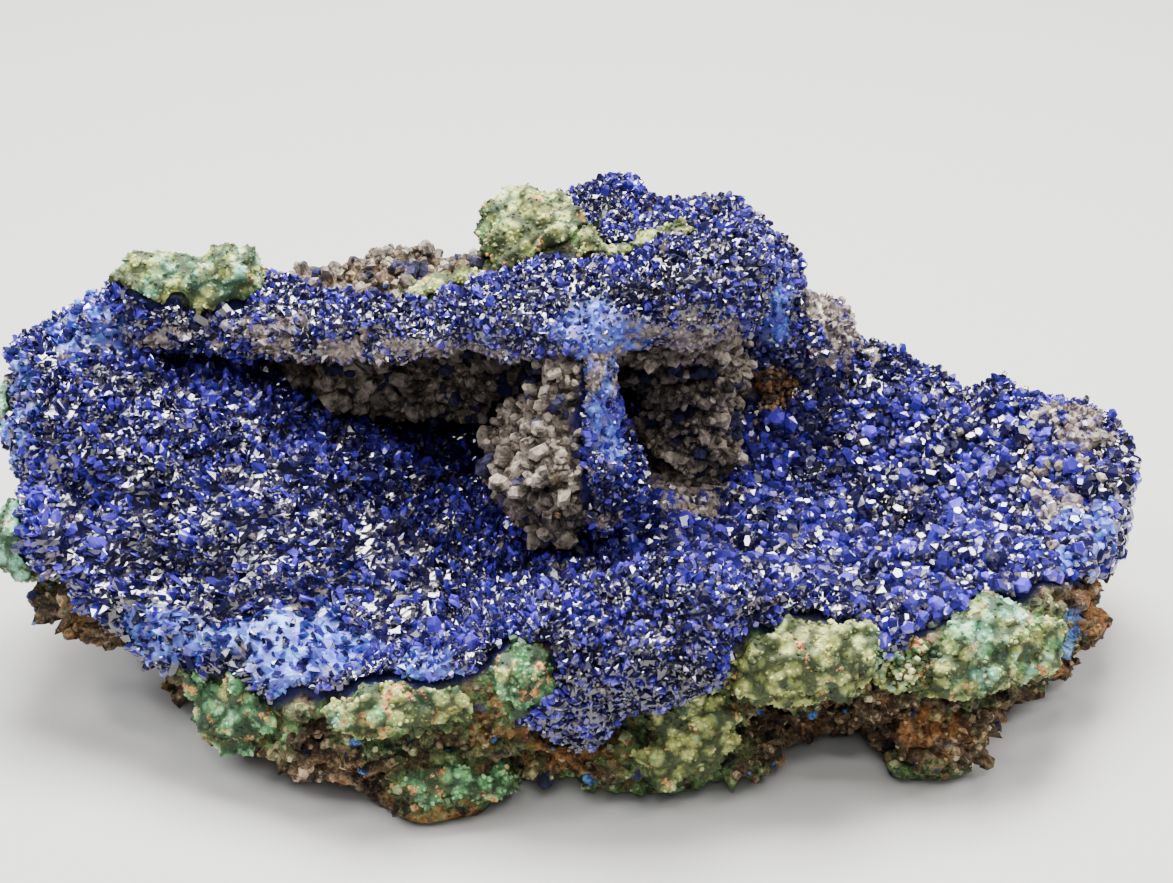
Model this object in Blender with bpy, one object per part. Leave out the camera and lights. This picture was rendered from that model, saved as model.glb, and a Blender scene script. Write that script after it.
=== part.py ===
# An azurite specimen: a vug of brown limonite rock, open to the front and roofed
# by a thin shelf. Azurite crystals line the hollow as one crust, and malachite
# crusts cover the broken edges. X runs along the specimen, Y to its back, Z up.
# Lengths in the tables are in millimetres, and MM turns them into metres.

import math
import random

import bmesh
import bpy
import numpy as np
from mathutils import Euler, Vector, noise
from mathutils.bvhtree import BVHTree

MM = 0.001

# The bowl's lip, from its left end round the front, the right and the back.
LIP = [
    (-53, 0, 33), (-51, -8, 27), (-51, -14, 18), (-42, -18, 15), (-31, -25, 13), (-22, -28, 14),
    (-9, -30, 16), (-4, -28, 20), (3, -27, 21), (10, -26, 22), (20, -26, 20), (27, -25, 18),
    (34, -23, 17), (40, -20, 17), (47, -14, 17), (54, -3, 18), (55, 4, 21), (53, 9, 22),
    (47, 14, 21), (38, 18, 21), (31, 19, 24), (16, 21, 26), (-2, 22, 26), (-22, 21, 27),
    (-40, 16, 29), (-50, 8, 32),
]
# Places on the bowl's inner face, which runs smoothly through them and the lip.
FLOOR = [
    (-46, -2, 30.5), (-45, -10, 22), (-36, -8, 26), (-35, -18, 16), (-26, -14, 19), (-26, -5, 24.5),
    (-25, -22, 14), (-20, -7, 21), (-16, -20, 13), (-12, -15, 15), (-7, -6, 17), (-1, -12, 14.2),
    (7, -4, 15), (12, -10, 15), (19, 3, 12.5), (21, -6, 12.5), (31, -4, 11), (32, -12, 12),
    (41, 0, 13), (29, 10, 16), (39, 9, 17), (48, 6, 18), (16, 12, 14), (-16, 8, 14),
    (-4, 12, 13), (-28, 6, 24),
]
BOWL_CENTRE = (2, -3)
LIP_THICKNESS = 3.0
UNDERSIDE = 1.8  # height of the bowl's underside, which stands on the masses below it
BASE_SHARE = 0.70  # of the lip's reach that the underside has at the ground
SECTORS = 96
FLOOR_RINGS = 16
WALL_RINGS = 8

# Stations along the roof: x, brow's y and lower z, top's y and z, the y and z of the
# foot of the rough curtain that hangs inside behind the brow, the back's y, and the
# height at which the back wall starts.
ROOF = [
    (-51, 2, 30, 4, 32.5, 6, 28, 10, 24),
    (-46, 2, 32, 5, 35, 7, 28, 13, 17),
    (-39, 2, 32.5, 5, 36.5, 7, 28, 16, 9),
    (-32, 1, 32.5, 4, 36, 6, 26.5, 19, 4),
    (-26, -1, 33.5, 3, 36.6, 5, 24, 21, 2),
    (-20, -3, 34.5, 2, 37.4, 6, 22, 22, 2),
    (-14, -5, 36, 1, 38.6, 7, 22, 22, 2),
    (-8, -6, 37, 1, 40, 7, 24, 22, 2),
    (-2, -6, 37, 1, 41, 6, 27, 22, 2),
    (4, -6, 35, 1, 42, 5, 30, 22, 2),
    (9, -5, 36, 1, 43.2, 5, 30, 21, 2),
    (14, -3, 37, 3, 43, 8, 30, 20, 2),
]

# Rounded masses fused to the rock: centre, half sizes, and turn about Z in degrees.
MASSES = {
    "left_shoulder": ((-44, 6, 24), (8, 8, 8), 0),
    "nose": ((11.5, 1, 39.8), (6.4, 6.6, 5), 0),
    "nose_neck": ((12.5, 8, 36), (5.6, 7.4, 6.6), 0),
    "knob": ((-3.6, 8, 40.4), (5, 4.3, 4.4), 20),
    "knob_bead": ((0.4, 4.4, 41.6), (3, 2.8, 2.4), 0),
    "knob_back": ((3, 12, 39.4), (5.8, 3.8, 4), 0),
    "roof_bead": ((-33.6, 5, 37.8), (2.8, 2.8, 2.6), 0),
    "roof_ridge": ((-40, 5, 36.6), (5, 3.2, 2.8), 0),
    "roof_crest": ((-16, 11, 35.4), (6, 3, 2.2), 0),
    "ridge_top": ((14.5, 13, 36), (4.2, 5.6, 6), 0),
    "ridge_middle": ((18.5, 16, 29.4), (4, 4.8, 7), 0),
    "ridge_bump": ((24.5, 16.5, 25.4), (3.6, 3.8, 4.6), 0),
    "ridge_low": ((23, 17, 15.5), (12, 5, 7.5), 0),
    "front_nodule": ((6.5, -25.5, 16.6), (8.6, 5, 5.8), 0),
    "nodule_foot": ((0, -27, 12.6), (4.6, 3.6, 4.4), 0),
    "patch_bulge": ((-5, -28.2, 14.5), (3, 2.6, 4.4), 0),
    "front_slope": ((11, -22, 7), (5.6, 5.6, 6.5), 0),
    "belly": ((7, -20.5, 3.4), (15, 8.4, 4.6), 0),
    "belly_root": ((4, -16, 9), (22, 10, 7), 0),
    "left_foot": ((-13, -27, 2.2), (7, 5.6, 3.8), 14),
    "left_foot_ledge": ((-20, -24.5, 5), (9, 4, 2.4), 26),
    "left_ledge_low": ((-17, -26.5, 7.8), (9, 3.6, 1.7), 12),
    "left_ledge_high": ((-16, -27.6, 11.8), (8, 3, 2.1), 6),
    "left_rim_mass": ((-29, -20, 6.4), (7, 5, 4.6), 40),
    "left_under": ((-36, -9, 7), (7, 8, 7), 30),
    "band_left": ((20, -24.6, 15.2), (8.5, 3.8, 4.2), 0),
    "band_right": ((38.5, -20, 12.6), (11, 4, 4.2), 25),
    "right_root": ((36, -14, 9), (9, 9, 8), 20),
    "right_foot": ((33.6, -22.4, 3.2), (4.8, 4.2, 4.9), 0),
    "right_foot_neck": ((35, -18.5, 8.4), (5.4, 5, 4.6), 0),
    "right_under": ((45, -6, 8), (7, 10, 7), 0),
    "back_foot_left": ((-28, 13, 3.5), (7, 5, 5), 0),
    "back_foot_right": ((28, 13, 3.5), (7, 6, 5), 0),
    "back_ledge_high": ((-18, 20.5, 23), (14, 3.4, 2.8), 4),
    "back_ledge_low": ((4, 20, 11), (15, 3.6, 2.6), -5),
    "back_lump_left": ((-35, 15, 20), (6.5, 4.5, 5.5), 20),
    "back_lump_middle": ((-9, 20.6, 15.4), (5, 3, 4), 0),
    "back_lump_right": ((12, 20, 25), (5.5, 3.6, 5), 0),
    "chip_high": ((-53.6, 0, 27), (2.4, 3.2, 3.4), 0),
    "chip_low": ((-51, -12, 19), (2.6, 3.4, 4), 0),
}
# Hollows taken out of the rock under its ledges.
RECESSES = {
    "band_recess": ((22, -27.5, 6.4), (8, 8, 3.4), 0),
    "foot_gap": ((1, -32.5, 5), (4, 4.4, 2.6), 0),
    "ledge_groove_high": ((-16, -31, 9.8), (10, 4, 0.9), 8),
    "ledge_groove_low": ((-16, -30.6, 5.9), (9, 4, 0.8), 12),
    "lip_undercut": ((-46, -22, 6), (12, 10, 6), 25),
    "back_pocket": ((-4, 24, 19), (7, 3.6, 2.6), 8),
}
# The hanging pillar's beads, top to bottom: centre and half sizes.
PILLAR = [
    ((0.6, -3, 38), (4, 4, 3.4)),
    ((0.4, -6.2, 35), (3.2, 2.8, 3)),
    ((0.2, -7, 31.6), (3.2, 3, 3.2)),
    ((-0.2, -7.6, 28), (4.4, 4, 4)),
    ((-0.6, -8, 24), (6.2, 5.2, 5.6)),
    ((-4, -6, 24.6), (3, 2.8, 3.8)),
]
# The column at the back that joins roof and floor, from top to bottom.
COLUMN = [
    ((12, 5, 35), (6, 5.4, 5)),
    ((12, 5.6, 29), (4.8, 4.4, 5)),
    ((12, 6.6, 23), (3.8, 3.8, 5)),
    ((12, 8, 17), (3.4, 3.2, 6)),
]

# Zones where azurite grows outside the bowl's inner face, as centre and half sizes.
AZURITE_ZONES = {
    "brow_left": ((-36, 2, 36.5), (18, 6.5, 5.5)),
    "brow_middle": ((-12, -3, 39), (16, 6, 5)),
    "brow_right": ((6, -4, 40.5), (13, 7, 6)),
    "nose": ((15, 2, 43), (7, 9, 7.5)),
    "ridge": ((19, 12, 36), (8, 9, 12)),
    "ridge_right": ((29, 15, 26), (9, 8, 9)),
    "knob_back": ((6, 11, 44), (8, 5.5, 5)),
    "nodule": ((6, -28, 17.5), (9.5, 6, 7.5)),
    "nodule_foot": ((0, -29, 13), (5, 5, 5.5)),
    "left_edge": ((-52, -4, 27), (4, 10, 10)),
    "left_lip": ((-34, -24, 14.5), (18, 8, 3.6)),
    "right_lip": ((50, 0, 19), (7, 14, 5)),
    "pillar_right": ((2.5, -9, 27), (3.5, 6, 8)),
}
# Patches that stay bare rock or carry malachite, inside the azurite's reach.
BARE_ZONES = {
    "curtain": ((-14, 9, 31), (18, 9, 9.5)),
    "column": ((12, 6, 27), (5.5, 5.5, 10)),
    "under_nose": ((9, -1, 35), (7, 5, 3)),
    "back_left": ((-36, 18, 30), (24, 8, 10)),
    "back_edge": ((30, 24, 22), (14, 4.5, 5)),
}
# Malachite crusts, one node for each: centre and half sizes of its zone, thickness.
MALACHITE = {
    "malachite_knob": ((-5.4, 6, 43), (6.4, 5, 4.4), 1.2),
    "malachite_roof_band": ((5, 3.2, 43.6), (7, 3, 2.6), 0.9),
    "malachite_roof_left": ((-36.5, 5, 38.8), (8, 3.6, 3.4), 1.2),
    "malachite_roof_strip": ((-15.5, 1.6, 39.6), (9, 2.6, 2), 0.8),
    "malachite_front_band": ((21.5, -28, 15), (8.5, 5, 5), 1.4),
    "malachite_right_band": ((40, -22.5, 13.4), (9.5, 6, 3.6), 1.3),
    "malachite_front_slope": ((10.6, -28, 7.8), (5.4, 5, 5.6), 1.3),
    "malachite_patch": ((-4.3, -30, 15.6), (2.9, 3.5, 5), 1.1),
    "malachite_left_ledge": ((-15.4, -30, 12), (7.8, 4, 2.5), 1.1),
    "malachite_left_foot": ((-9, -31, 4), (5.6, 4.4, 3), 1.1),
    "malachite_left_rim": ((-31, -24.4, 8.4), (6.5, 5, 3.8), 1.1),
    "malachite_chip_high": ((-56, 0, 27), (3.4, 3.6, 3.6), 1.4),
    "malachite_chip_low": ((-53.6, -12, 19), (3.4, 4, 4.4), 1.4),
    "malachite_back_ledge": ((-16, 24, 22), (11, 5, 5), 1.2),
    "malachite_back_low": ((10, 23, 13), (8, 5, 4.5), 1.2),
}

VOXEL = 1.0
LUMPS = (9, 2.4)  # size and strength of the rock's broad unevenness
BUMPS = (3.5, 1.3)  # and of the finer one on top of it
STIFFNESS = 2.0  # how far the floor may pass its places to stay smooth
GROUND_MARGIN = 1.2  # the crusts start this far above the ground
LIP_MARGIN = 0.5  # the lining may pass the lip by this much
STEEPEST_LINING = -0.1  # least upward share of a lining face's normal
LONGEST_EDGE = 2.2  # of the rock's triangles below a malachite crust
GAP = 0.3  # between the rock and the crusts that grow on it
RIM_STEP = 0.35  # a crust's edge stands this far back from its neighbour's
RIM_SHARE = 0.55  # of a crust's thickness that is left at its edge
CORNER_CLEARANCE = 0.8 * GAP
FACE_CLEARANCE = 0.5 * GAP
LIFT_STEP = 0.3 * GAP
ROOM = 3.0  # open space that a crust needs before it
TIP_ROOM = 0.8  # and that a crystal needs beyond its tip
LIFT_ROUNDS = 8
MALACHITE_SWELL = (3, 0.45)  # size and share of the malachite's uneven thickness
CRUST_THICKNESS = 0.9
CELL_ANGLE = 50  # triangles that meet flatter than this make one crystal cell
CRYSTAL_HEIGHT = 1.5
CRYSTAL_SLOPE = 0.62  # a small crystal's height over its width
CRYSTAL_RANGE = (0.6, 1.1)
CRYSTAL_LEAN = 0.55
CRYSTAL_SHARE = 0.62  # of the crust's cells that stand up as a crystal
ROCK_TRIANGLES = 3500
FLOOR_REACH = 2.6  # how near the modelled floor a face counts as lining
LARGEST_PINHOLE = 70  # faces in a gap of the lining that still closes over

MINERALS = {
    "limonite": ((0.33, 0.20, 0.10), 0.9),
    "azurite": ((0.03, 0.04, 0.42), 0.25),
    "malachite": ((0.25, 0.48, 0.26), 0.75),
}


def clear_scene():
    for obj in list(bpy.data.objects):
        bpy.data.objects.remove(obj)


def mineral(name):
    colour, roughness = MINERALS[name]
    material = bpy.data.materials.get(name) or bpy.data.materials.new(name)
    material.use_nodes = True
    shader = material.node_tree.nodes["Principled BSDF"]
    shader.inputs["Base Color"].default_value = (*colour, 1)
    shader.inputs["Roughness"].default_value = roughness
    shader.inputs["Metallic"].default_value = 0.0
    return material


def add_object(name, mesh, material=None):
    obj = bpy.data.objects.new(name, mesh)
    bpy.context.collection.objects.link(obj)
    if material:
        mesh.materials.append(mineral(material))
    return obj


def mesh_of(name, vertices, faces):
    mesh = bpy.data.meshes.new(name)
    mesh.from_pydata([Vector(v) * MM for v in vertices], [], faces)
    solid = bmesh.new()
    solid.from_mesh(mesh)
    bmesh.ops.recalc_face_normals(solid, faces=solid.faces)
    solid.to_mesh(mesh)
    solid.free()
    return mesh


def closed_curve(points, count):
    """Catmull-Rom curve through the points and back to the first."""
    points = np.array(points, float)
    number = len(points)
    made = []
    for step in range(count):
        place = step * number / count
        start = int(place)
        t = place - start
        a, b, c, d = (points[(start + k) % number] for k in (-1, 0, 1, 2))
        square = (2 * a - 5 * b + 4 * c - d) * t**2
        cube = (3 * b - a - 3 * c + d) * t**3
        made.append(0.5 * (2 * b + (c - a) * t + square + cube))
    return np.array(made)


def smooth_surface(places):
    """Thin plate through the places (x, y, z), as a function of x and y."""
    places = np.array(places, float)
    flat = places[:, :2]
    number = len(flat)

    def bend(distance):
        return distance**2 * np.log(np.maximum(distance, 1e-9))

    apart = np.linalg.norm(flat[:, None] - flat[None], axis=2)
    sides = np.column_stack([np.ones(number), flat])
    system = np.block([[bend(apart) + STIFFNESS * np.eye(number), sides], [sides.T, np.zeros((3, 3))]])
    weights = np.linalg.solve(system, np.append(places[:, 2], [0, 0, 0]))

    def height(x, y):
        reach = np.linalg.norm(flat - np.array([x, y]), axis=1)
        level, slope_x, slope_y = weights[number:]
        return float(bend(reach) @ weights[:number] + level + slope_x * x + slope_y * y)

    return height


floor_height = smooth_surface(FLOOR + LIP)


def bowl():
    """The lower shell: inner face over FLOOR, lip along LIP, bulging underside."""
    lip = closed_curve(LIP, SECTORS)
    centre = np.array(BOWL_CENTRE, float)
    rings = []
    for ring in range(1, FLOOR_RINGS + 1):
        share = ring / FLOOR_RINGS
        flat = centre + (lip[:, :2] - centre) * share
        heights = [floor_height(x, y) for x, y in flat] if ring < FLOOR_RINGS else lip[:, 2]
        rings.append(np.column_stack([flat, heights]))
    for ring in range(WALL_RINGS + 1):
        angle = ring / WALL_RINGS * math.pi / 2
        flat = centre + (lip[:, :2] - centre) * (1 - (1 - BASE_SHARE) * (1 - math.cos(angle)))
        heights = UNDERSIDE + (lip[:, 2] - LIP_THICKNESS - UNDERSIDE) * (1 - math.sin(angle))
        rings.append(np.column_stack([flat, heights]))
    vertices = [(*BOWL_CENTRE, floor_height(*BOWL_CENTRE))]
    vertices += [tuple(v) for ring in rings for v in ring]
    vertices.append((*BOWL_CENTRE, UNDERSIDE))
    faces = []
    for k in range(SECTORS):
        after = (k + 1) % SECTORS
        faces.append((0, 1 + k, 1 + after))
        for ring in range(len(rings) - 1):
            low, high = 1 + ring * SECTORS, 1 + (ring + 1) * SECTORS
            faces.append((low + k, high + k, high + after, low + after))
        last = 1 + (len(rings) - 1) * SECTORS
        faces.append((last + k, len(vertices) - 1, last + after))
    return mesh_of("bowl", vertices, faces)


def roof():
    """The shelf over the hollow with the back wall, lofted along X."""
    vertices, faces = [], []
    for x, brow_y, brow_z, top_y, top_z, curtain_y, curtain_z, back_y, foot_z in ROOF:
        depth = back_y - top_y
        inner_y = max(back_y - 6, curtain_y + 1)
        outline = [
            (brow_y, brow_z),
            (brow_y - 0.8, (brow_z + top_z) / 2),
            (top_y - 1.5, top_z - 0.4),
            (top_y + 0.15 * depth, top_z),
            (top_y + 0.5 * depth, top_z - 2),
            (top_y + 0.85 * depth, 0.8 * top_z),
            (back_y, max(15, foot_z + 2)),
            (back_y - 3, foot_z),
            (inner_y - 3, foot_z + 4),
            (inner_y, max(20, foot_z + 2)),
            ((curtain_y + inner_y) / 2, curtain_z + 2),
            (curtain_y, curtain_z),
            (brow_y + 6, brow_z - 2),
            (brow_y + 3.5, brow_z + 1.2),
        ]
        vertices += [(x, y, z) for y, z in outline]
    width = len(vertices) // len(ROOF)
    for station in range(len(ROOF) - 1):
        for k in range(width):
            after = (k + 1) % width
            low, high = station * width, (station + 1) * width
            faces.append((low + k, low + after, high + after, high + k))
    faces.append(tuple(range(width)))
    faces.append(tuple(range(len(vertices) - width, len(vertices))))
    return mesh_of("roof", vertices, faces)


def ellipsoid(name, centre, sizes, turn=0):
    solid = bmesh.new()
    bmesh.ops.create_icosphere(solid, subdivisions=3, radius=1)
    bmesh.ops.scale(solid, vec=Vector(sizes) * MM, verts=solid.verts)
    spin = Euler((0, 0, math.radians(turn))).to_matrix()
    bmesh.ops.rotate(solid, cent=(0, 0, 0), matrix=spin, verts=solid.verts)
    bmesh.ops.translate(solid, vec=Vector(centre) * MM, verts=solid.verts)
    mesh = bpy.data.meshes.new(name)
    solid.to_mesh(mesh)
    solid.free()
    return mesh


def joined(name, meshes):
    solid = bmesh.new()
    for mesh in meshes:
        solid.from_mesh(mesh)
    mesh = bpy.data.meshes.new(name)
    solid.to_mesh(mesh)
    solid.free()
    return add_object(name, mesh)


def evaluated_mesh(obj):
    """The object's mesh with its modifiers applied, and the object removed."""
    bpy.context.view_layer.update()
    graph = bpy.context.evaluated_depsgraph_get()
    mesh = bpy.data.meshes.new_from_object(obj.evaluated_get(graph))
    bpy.data.objects.remove(obj)
    return mesh


def remeshed(obj, voxel, smoothing):
    fuse = obj.modifiers.new("fuse", "REMESH")
    fuse.mode = "VOXEL"
    fuse.voxel_size = voxel * MM
    soften = obj.modifiers.new("soften", "SMOOTH")
    soften.factor = 0.5
    soften.iterations = smoothing
    return obj


def roughened(obj, name, size, strength):
    texture = bpy.data.textures.new(name, "CLOUDS")
    texture.noise_scale = size * MM
    texture.noise_depth = 2
    rough = obj.modifiers.new(name, "DISPLACE")
    rough.texture = texture
    rough.texture_coords = "GLOBAL"
    rough.mid_level = 0.5
    rough.strength = strength * MM


def rock_form():
    """The whole rock as one mesh: bowl, roof, masses, pillar and column fused."""
    masses = [ellipsoid(name, *shape) for name, shape in MASSES.items()]
    body = remeshed(joined("form", [bowl(), roof(), *masses]), VOXEL, 2)
    for name, shape in RECESSES.items():
        cutter = add_object(name, ellipsoid(name, *shape))
        cutter.hide_render = True
        cutter.display_type = "WIRE"
        cut = body.modifiers.new(name, "BOOLEAN")
        cut.operation = "DIFFERENCE"
        cut.object = cutter
    body = evaluated_mesh(body)
    for name in RECESSES:
        bpy.data.objects.remove(bpy.data.objects[name])
    beads = [ellipsoid("bead", centre, sizes) for centre, sizes in PILLAR + COLUMN]
    form = remeshed(joined("form", [body, *beads]), VOXEL, 3)
    roughened(form, "lumps", *LUMPS)
    roughened(form, "bumps", *BUMPS)
    return evaluated_mesh(form)


def thinned(mesh, triangles):
    """The mesh brought down to a number of triangles and cut flat at the ground."""
    obj = add_object("thin", mesh)
    thin = obj.modifiers.new("thin", "DECIMATE")
    thin.ratio = triangles / (2 * len(mesh.polygons))
    thin.use_collapse_triangulate = True
    mesh = evaluated_mesh(obj)
    solid = bmesh.new()
    solid.from_mesh(mesh)
    cut = bmesh.ops.bisect_plane(
        solid, geom=solid.verts[:] + solid.edges[:] + solid.faces[:], dist=1e-6,
        plane_co=(0, 0, 0), plane_no=(0, 0, -1), clear_outer=True,
    )
    rim = [e for e in cut["geom_cut"] if isinstance(e, bmesh.types.BMEdge)]
    bmesh.ops.holes_fill(solid, edges=rim)
    bmesh.ops.triangulate(solid, faces=solid.faces)
    solid.normal_update()
    return solid


def refine_zones(solid):
    """Splits the rock's triangles where a malachite crust will sit."""
    zones = MALACHITE.values()
    wanted = {f for f in solid.faces if in_any(f.calc_center_median(), zones)}
    edges = {e for f in wanted for e in f.edges if e.calc_length() > LONGEST_EDGE * MM}
    bmesh.ops.subdivide_edges(solid, edges=sorted(edges, key=lambda e: e.index), cuts=1)
    bmesh.ops.triangulate(solid, faces=solid.faces)
    solid.normal_update()
    solid.verts.index_update()
    solid.faces.index_update()


def in_zone(point, zone):
    centre, sizes = zone[0], zone[1]
    return sum(((point[k] / MM - centre[k]) / sizes[k]) ** 2 for k in range(3)) < 1


def in_any(point, zones):
    return any(in_zone(point, zone) for zone in zones)


def lines_bowl(point, normal, lip):
    """True on the bowl's inner face: near the floor's height and inside the lip."""
    x, y, z = point / MM
    angle = math.atan2(y - BOWL_CENTRE[1], x - BOWL_CENTRE[0])
    angles = np.arctan2(lip[:, 1] - BOWL_CENTRE[1], lip[:, 0] - BOWL_CENTRE[0])
    nearest = lip[np.argmin(np.abs((angles - angle + math.pi) % (2 * math.pi) - math.pi))]
    reach = math.dist(nearest[:2], BOWL_CENTRE)
    inside = math.dist((x, y), BOWL_CENTRE) < reach + LIP_MARGIN
    level = abs(z - floor_height(x, y)) < FLOOR_REACH
    return inside and level and normal.z > STEEPEST_LINING


def pieces_of(faces):
    """The faces split into groups that share edges, largest first."""
    left, groups = set(faces), []
    while left:
        group, edge = set(), [left.pop()]
        while edge:
            face = edge.pop()
            group.add(face)
            for line in face.edges:
                for other in line.link_faces:
                    if other in left:
                        left.discard(other)
                        edge.append(other)
        groups.append(group)
    return sorted(groups, key=len, reverse=True)


def neighbours_in(face, chosen):
    return sum(o in chosen and o is not face for e in face.edges for o in e.link_faces)


def tidy_patch(faces, everything):
    """Faces in one group, with pinholes filled and lone corners removed."""
    chosen = set(faces)
    for gap in pieces_of(everything - chosen)[1:]:
        if len(gap) <= LARGEST_PINHOLE:
            chosen |= gap
    for _ in range(3):
        chosen |= {f for f in everything - chosen if neighbours_in(f, chosen) >= 2}
        chosen -= {f for f in chosen if neighbours_in(f, chosen) <= 1}
    return without_pinches(chosen)


def on_edge(edge, chosen):
    return sum(f in chosen for f in edge.link_faces) == 1


def without_pinches(chosen):
    """Drops faces round corners where the patch meets itself at a point only."""
    chosen = set(chosen)
    changed = True
    while changed:
        changed = False
        chosen = set(pieces_of(chosen)[0]) if chosen else set()
        for vertex in {v for f in chosen for v in f.verts}:
            around = [f for f in vertex.link_faces if f in chosen]
            rims = [e for e in vertex.link_edges if on_edge(e, chosen)]
            if len(rims) > 2:
                smallest = min(around, key=lambda f: f.calc_area())
                chosen.discard(smallest)
                changed = True
    return chosen


def clearance(rock, point):
    """How far outside the rock a point lies, less than nothing within it."""
    nearest, normal, _, distance = rock.find_nearest(point)
    return math.copysign(distance, (point - nearest).dot(normal))


def roomy(faces, rock):
    """The faces that have open space before them for a crust to grow into."""
    free = set()
    for face in faces:
        start = face.calc_center_median() + face.normal * 0.01 * MM
        ahead = rock.ray_cast(start, face.normal, ROOM * MM)
        if ahead[0] is None:
            free.add(face)
    return without_pinches(free)


def corner_normal(vertex):
    return sum((f.normal * f.calc_area() for f in vertex.link_faces), Vector()).normalized()


def lifted_corners(vertices, faces, on_rim, rock):
    """Where the crust's inner face has its corners, each clear of the rock."""
    places = {}
    for v in vertices:
        place = v.co.copy()
        if v in on_rim:
            middles = [f.calc_center_median() for f in v.link_faces if f in faces]
            inward = sum(middles, Vector()) / len(middles) - v.co
            place = rock.find_nearest(v.co + inward.normalized() * RIM_STEP * MM)[0]
        places[v] = place + corner_normal(v) * GAP * MM
    for _ in range(LIFT_ROUNDS):
        tight = {v for v in vertices if clearance(rock, places[v]) < CORNER_CLEARANCE * MM}
        for f in faces:
            corners = [places[v] for v in f.verts]
            samples = [(corners[k] + corners[k - 1]) / 2 for k in range(3)]
            samples.append(sum(corners, Vector()) / 3)
            if min(clearance(rock, sample) for sample in samples) < FACE_CLEARANCE * MM:
                tight.update(f.verts)
        for v in tight:
            places[v] += corner_normal(v) * LIFT_STEP * MM
    return places


def skin(faces, thickness_at, rock):
    """A closed crust over the faces: an inner face clear of the rock and an outer one."""
    vertices = sorted({v for f in faces for v in f.verts}, key=lambda v: v.index)
    index = {v: k for k, v in enumerate(vertices)}
    rim_edges = [e for f in faces for e in f.edges if on_edge(e, faces)]
    rim_edges.sort(key=lambda e: e.index)
    on_rim = {v for e in rim_edges for v in e.verts}
    places = lifted_corners(vertices, faces, on_rim, rock)
    solid = bmesh.new()
    inner, outer = [], []
    for v in vertices:
        height = thickness_at(v.co) * (RIM_SHARE if v in on_rim else 1.0)
        inner.append(solid.verts.new(places[v]))
        outer.append(solid.verts.new(places[v] + corner_normal(v) * height * MM))
    tops = []
    for f in sorted(faces, key=lambda f: f.index):
        corners = [index[v] for v in f.verts]
        solid.faces.new([inner[k] for k in reversed(corners)])
        tops.append(solid.faces.new([outer[k] for k in corners]))
    for e in rim_edges:
        face = next(f for f in e.link_faces if f in faces)
        first = next(loop.vert for loop in face.loops if loop.edge is e)
        a, b = index[first], index[e.other_vert(first)]
        solid.faces.new([inner[a], inner[b], outer[b], outer[a]])
    return solid, tops


def azurite_crust(faces, rock):
    """The hollow's lining: a crust whose outer cells mostly stand up as crystals."""
    solid, tops = skin(faces, lambda place: CRUST_THICKNESS, rock)
    flattest = math.radians(CELL_ANGLE)
    pairs = bmesh.ops.join_triangles(
        solid, faces=tops, angle_face_threshold=flattest, angle_shape_threshold=flattest
    )
    solid.faces.index_update()
    cells = {*pairs["faces"], *(f for f in tops if f.is_valid)}
    tops = sorted(cells, key=lambda f: f.index)
    draw = random.Random(11)
    solid.normal_update()
    for face in tops:
        if draw.random() > CRYSTAL_SHARE:
            continue
        normal, centre = face.normal.copy(), face.calc_center_median()
        size = math.sqrt(face.calc_area()) / MM
        lean = Vector([draw.uniform(-1, 1) for _ in range(3)]) * CRYSTAL_LEAN
        height = min(CRYSTAL_HEIGHT, CRYSTAL_SLOPE * size) * draw.uniform(*CRYSTAL_RANGE)
        along = (normal + lean).normalized()
        if rock.ray_cast(centre, along, (height + TIP_ROOM) * MM)[0] is None:
            apex = bmesh.ops.poke(solid, faces=[face])["verts"][0]
            apex.co = centre + along * height * MM
    return finished("azurite_crust", solid, "azurite")


def finished(name, solid, material):
    bmesh.ops.triangulate(solid, faces=solid.faces)
    mesh = bpy.data.meshes.new(name)
    solid.to_mesh(mesh)
    solid.free()
    return add_object(name, mesh, material)


def malachite_crust(name, faces, thickness, rock):
    """A lumpy green crust, thicker and thinner by a smooth noise."""

    swell_size, swell_share = MALACHITE_SWELL

    def thickness_at(place):
        return thickness * (1 + swell_share * noise.noise(place / (swell_size * MM)))

    solid, _ = skin(faces, thickness_at, rock)
    return finished(name, solid, "malachite")


def centred():
    """Moves every object so that their common box stands on the origin."""
    corners = [v.co for obj in bpy.data.objects for v in obj.data.vertices]
    low = Vector([min(c[k] for c in corners) for k in range(3)])
    high = Vector([max(c[k] for c in corners) for k in range(3)])
    shift = Vector((-(low.x + high.x) / 2, -(low.y + high.y) / 2, -low.z))
    for obj in bpy.data.objects:
        for v in obj.data.vertices:
            v.co += shift


def main():
    clear_scene()
    solid = thinned(rock_form(), ROCK_TRIANGLES)
    refine_zones(solid)
    rock = BVHTree.FromBMesh(solid)
    lip = closed_curve(LIP, SECTORS)
    ground = GROUND_MARGIN * MM
    raised = {f for f in solid.faces if min(v.co.z for v in f.verts) > ground}
    middles = {f: f.calc_center_median() for f in raised}
    taken = set()
    for name, zone in MALACHITE.items():
        chosen = {f for f in raised - taken if in_zone(middles[f], zone)}
        patch = roomy(tidy_patch(chosen, chosen), rock)
        malachite_crust(name, patch, zone[2], rock)
        taken |= patch
    lining = {f for f in raised - taken if lines_bowl(middles[f], f.normal, lip)}
    lining |= {f for f in raised - taken if in_any(middles[f], AZURITE_ZONES.values())}
    bare = {f for f in lining if in_any(middles[f], BARE_ZONES.values())}
    azurite_crust(roomy(tidy_patch(lining - bare, raised - taken), rock), rock)
    mesh = bpy.data.meshes.new("matrix")
    solid.to_mesh(mesh)
    solid.free()
    add_object("matrix", mesh, "limonite")
    centred()


main()
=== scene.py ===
import bpy
import bmesh
import math
import numpy as np
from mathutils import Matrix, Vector, noise
from mathutils.bvhtree import BVHTree


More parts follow.
